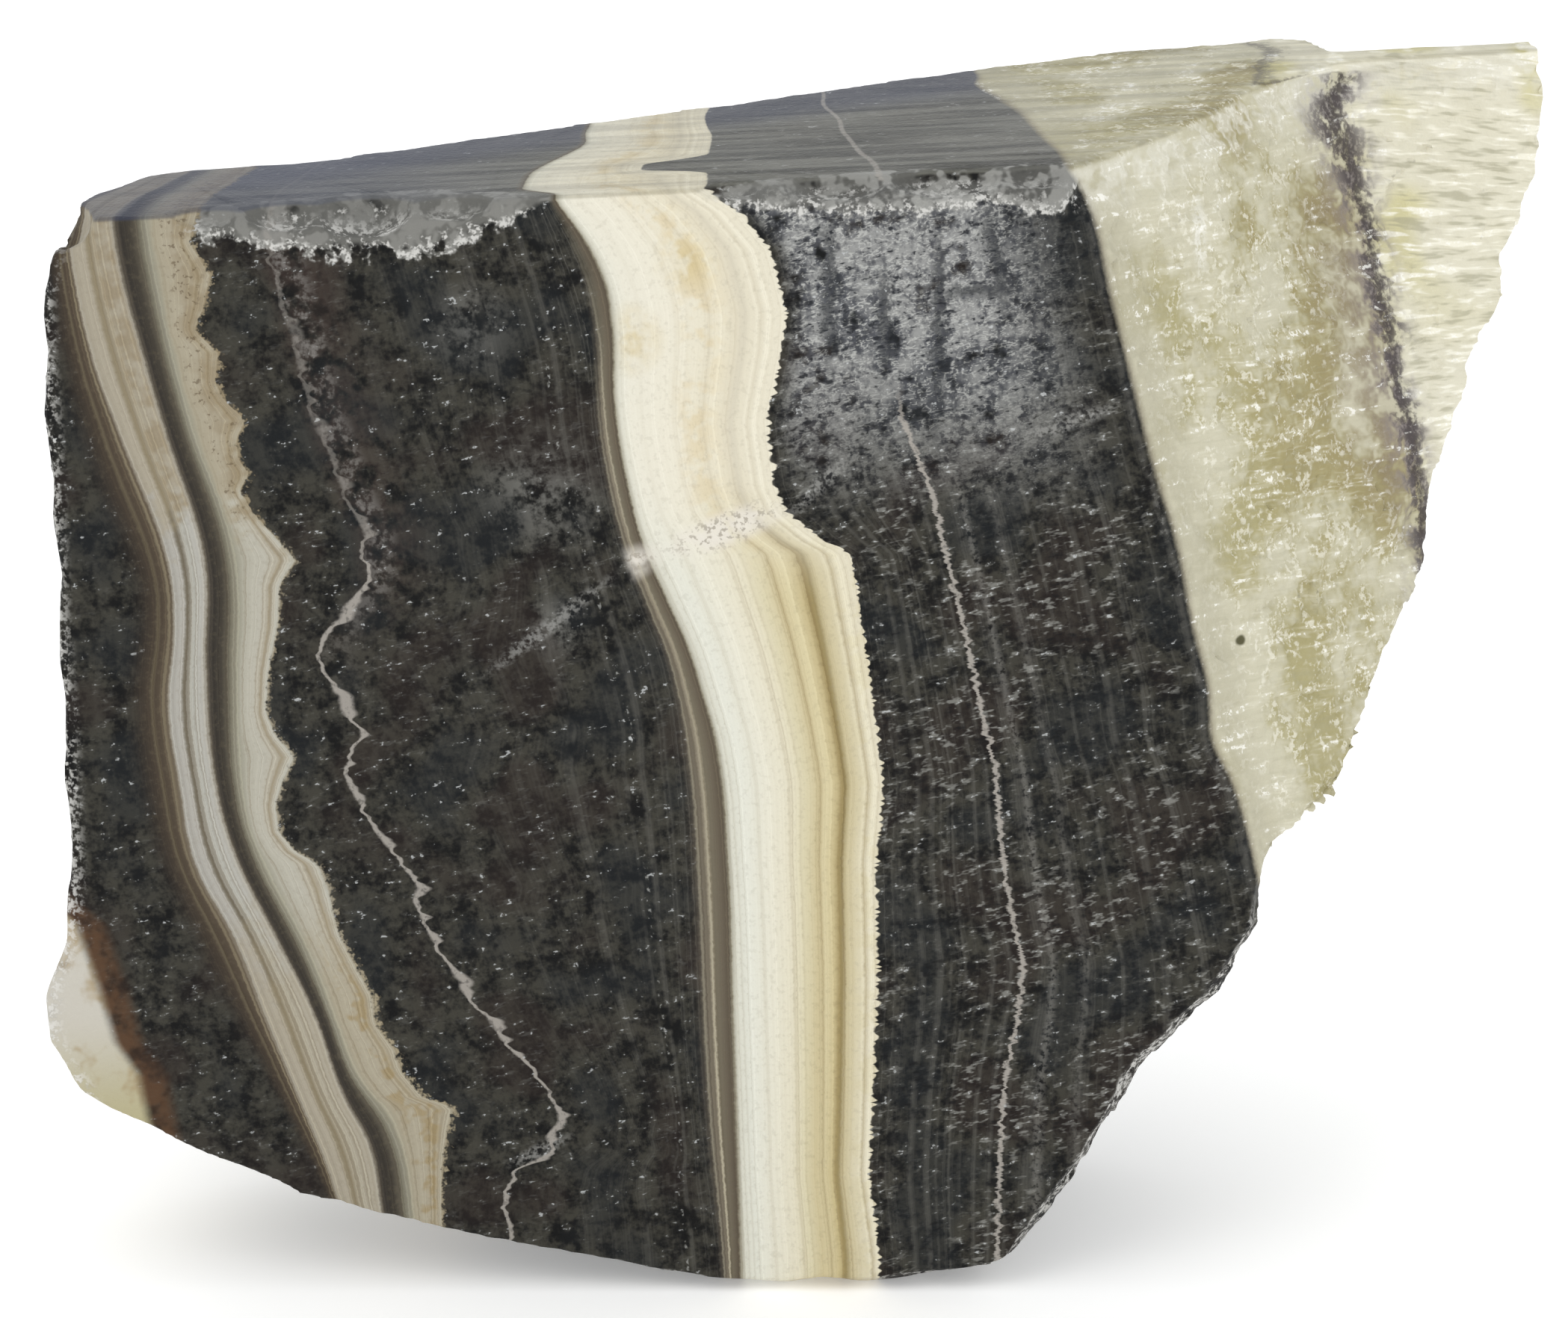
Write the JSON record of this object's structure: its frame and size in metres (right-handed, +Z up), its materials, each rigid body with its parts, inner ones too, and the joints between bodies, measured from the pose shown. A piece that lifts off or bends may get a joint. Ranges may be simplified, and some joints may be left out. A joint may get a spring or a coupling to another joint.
{
  "type": "banded calcite specimen",
  "caption": "Broken slab of layered calcite with pale and dark bands, a sawn front, a sawn top and rough broken sides, standing on a small flat spot.",
  "frame": {"origin": "middle of the box that holds the stone, at the level of the flat resting spot", "axes": "+Z up, the sawn front face towards -Y, the thick pale band's right-hand neighbours towards +X"},
  "size_m": [0.1024, 0.0412, 0.08],
  "materials": {
    "banded_stone": "sawn and semi-matt on the front and top with dark grey, cream and yellowish bands, crystalline and sparkling where broken"
  },
  "bodies": {
    "root": {"banded_calcite": "banded_stone"}
  },
  "joints": []
}
